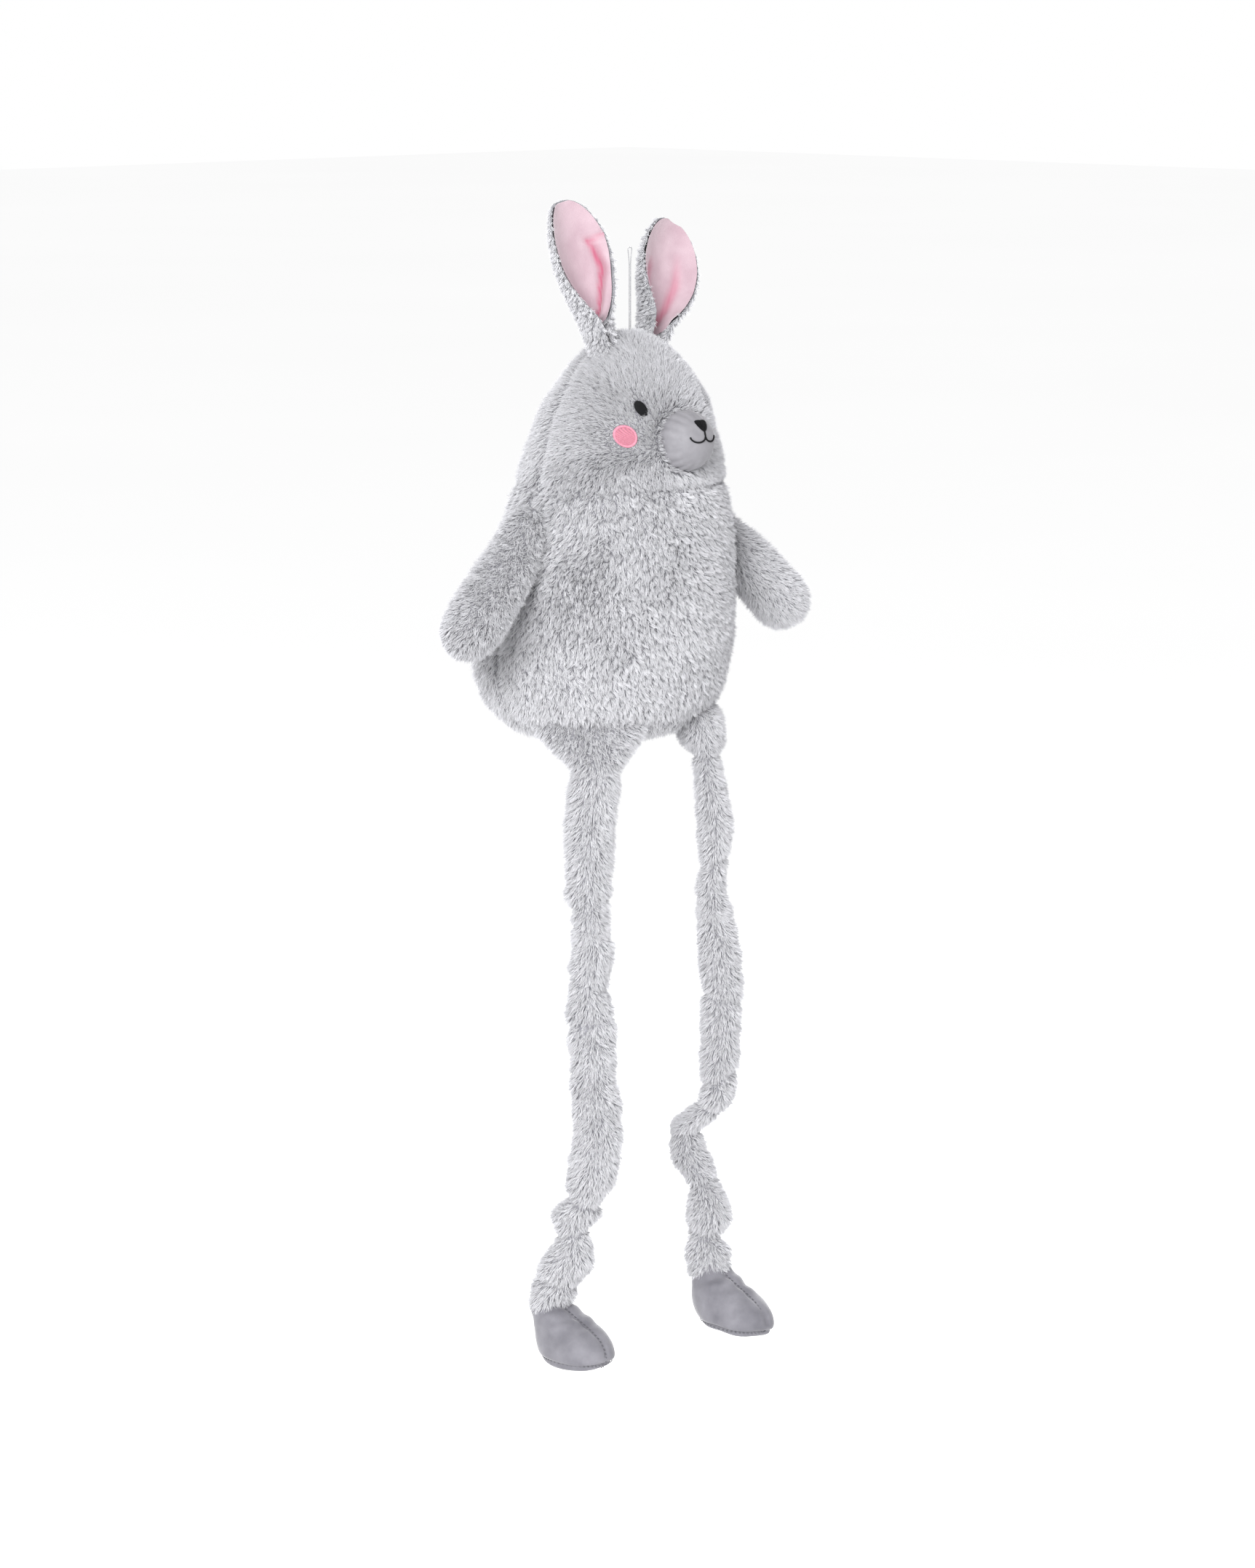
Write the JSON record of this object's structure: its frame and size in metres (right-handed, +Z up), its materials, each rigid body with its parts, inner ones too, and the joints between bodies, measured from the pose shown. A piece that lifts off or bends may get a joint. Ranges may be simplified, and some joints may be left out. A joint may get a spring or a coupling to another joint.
{
  "type": "stuffed bunny rabbit",
  "caption": "Soft plush rabbit with a pear-shaped head and body, upright lined ears, stubby arms and very long limp legs with velvet feet, hung from a thread loop.",
  "frame": {"origin": "top of the hanging thread loop, from which the toy hangs", "axes": "+Z up, the face looks along -Y, the rabbit's own right side is -X"},
  "size_m": [0.4206, 0.2602, 0.9965],
  "materials": {
    "plush": "frosted light grey plush with a 6 mm pile",
    "velvet": "short smooth grey velvet",
    "muzzle_velvet": "short smooth light grey velvet",
    "pink_velvet": "short smooth pale pink velvet",
    "pink_thread": "pink embroidery thread in satin and filling stitch",
    "black_thread": "black embroidery thread in satin stitch",
    "fibre_fill": "white polyester fibre filling",
    "pellet_bag": "small plastic pellets in a cloth bag",
    "nylon_thread": "clear nylon thread"
  },
  "bodies": {
    "torso": {"head_front_panel": "plush", "head_back_panel": "plush", "body_front_panel": "plush", "body_back_panel": "plush", "seat_panel": "plush", "tail_pompom": "plush", "hip_gusset_right": "plush", "hip_gusset_left": "plush", "head_stuffing": "fibre_fill", "body_stuffing": "fibre_fill", "muzzle_stuffing": "fibre_fill", "pellet_bag": "pellet_bag", "muzzle_cover": "muzzle_velvet", "nose_patch": "black_thread", "mouth_embroidery": "black_thread", "hanging_loop": "nylon_thread", "eye_right": "black_thread", "cheek_right": "pink_thread", "eye_left": "black_thread", "cheek_left": "pink_thread"},
    "ear_right": {"ear_right_back": "plush", "ear_right_lining": "pink_velvet"},
    "arm_right": {"arm_right_skin": "plush", "arm_right_stuffing": "fibre_fill"},
    "thigh_right": {"thigh_right_skin": "plush", "thigh_right_stuffing": "fibre_fill"},
    "shin_right": {"shin_right_skin": "plush", "shin_right_stuffing": "fibre_fill"},
    "foot_right": {"foot_right_upper": "velvet", "foot_right_sole": "velvet", "foot_right_stuffing": "fibre_fill"},
    "ear_left": {"ear_left_back": "plush", "ear_left_lining": "pink_velvet"},
    "arm_left": {"arm_left_skin": "plush", "arm_left_stuffing": "fibre_fill"},
    "thigh_left": {"thigh_left_skin": "plush", "thigh_left_stuffing": "fibre_fill"},
    "shin_left": {"shin_left_skin": "plush", "shin_left_stuffing": "fibre_fill"},
    "foot_left": {"foot_left_upper": "velvet", "foot_left_sole": "velvet", "foot_left_stuffing": "fibre_fill"}
  },
  "joints": [
    {"name": "ear_right_flop", "type": "hinge", "parent": "torso", "child": "ear_right", "pos_m": [-0.034, 0.002, -0.065], "axis": [0.9583, 0.062, 0.279], "range_deg": [-35, 60], "stiffness_Nm_per_rad": 0.06},
    {"name": "arm_right_lift", "type": "hinge", "parent": "torso", "child": "arm_right", "pos_m": [-0.124, 0.014, -0.241], "axis": [0, 1, 0], "range_deg": [-6, 100], "stiffness_Nm_per_rad": 0.2},
    {"name": "hip_right_swing", "type": "hinge", "parent": "torso", "child": "thigh_right", "pos_m": [-0.06688, -0.024, -0.455], "axis": [-1, 0, 0], "range_deg": [-20, 92]},
    {"name": "knee_right_fold", "type": "hinge", "parent": "thigh_right", "child": "shin_right", "pos_m": [-0.074, -0.02878, -0.668], "axis": [1, 0, 0], "range_deg": [0, 100]},
    {"name": "ankle_right_bend", "type": "hinge", "parent": "shin_right", "child": "foot_right", "pos_m": [-0.074, 0.012, -0.884], "axis": [-1, 0, 0], "range_deg": [-20, 30], "stiffness_Nm_per_rad": 0.06},
    {"name": "ear_left_flop", "type": "hinge", "parent": "torso", "child": "ear_left", "pos_m": [0.034, 0.002, -0.065], "axis": [0.9124, -0.1419, -0.3839], "range_deg": [-35, 60], "stiffness_Nm_per_rad": 0.06},
    {"name": "arm_left_lift", "type": "hinge", "parent": "torso", "child": "arm_left", "pos_m": [0.124, 0.014, -0.241], "axis": [0, -1, 0], "range_deg": [-6, 100], "stiffness_Nm_per_rad": 0.2},
    {"name": "hip_left_swing", "type": "hinge", "parent": "torso", "child": "thigh_left", "pos_m": [0.06688, -0.027, -0.455], "axis": [-1, 0, 0], "range_deg": [-20, 92]},
    {"name": "knee_left_fold", "type": "hinge", "parent": "thigh_left", "child": "shin_left", "pos_m": [0.074, -0.033, -0.668], "axis": [1, 0, 0], "range_deg": [0, 100]},
    {"name": "ankle_left_bend", "type": "hinge", "parent": "shin_left", "child": "foot_left", "pos_m": [0.074, -0.03, -0.884], "axis": [-1, 0, 0], "range_deg": [-20, 30], "stiffness_Nm_per_rad": 0.06}
  ]
}
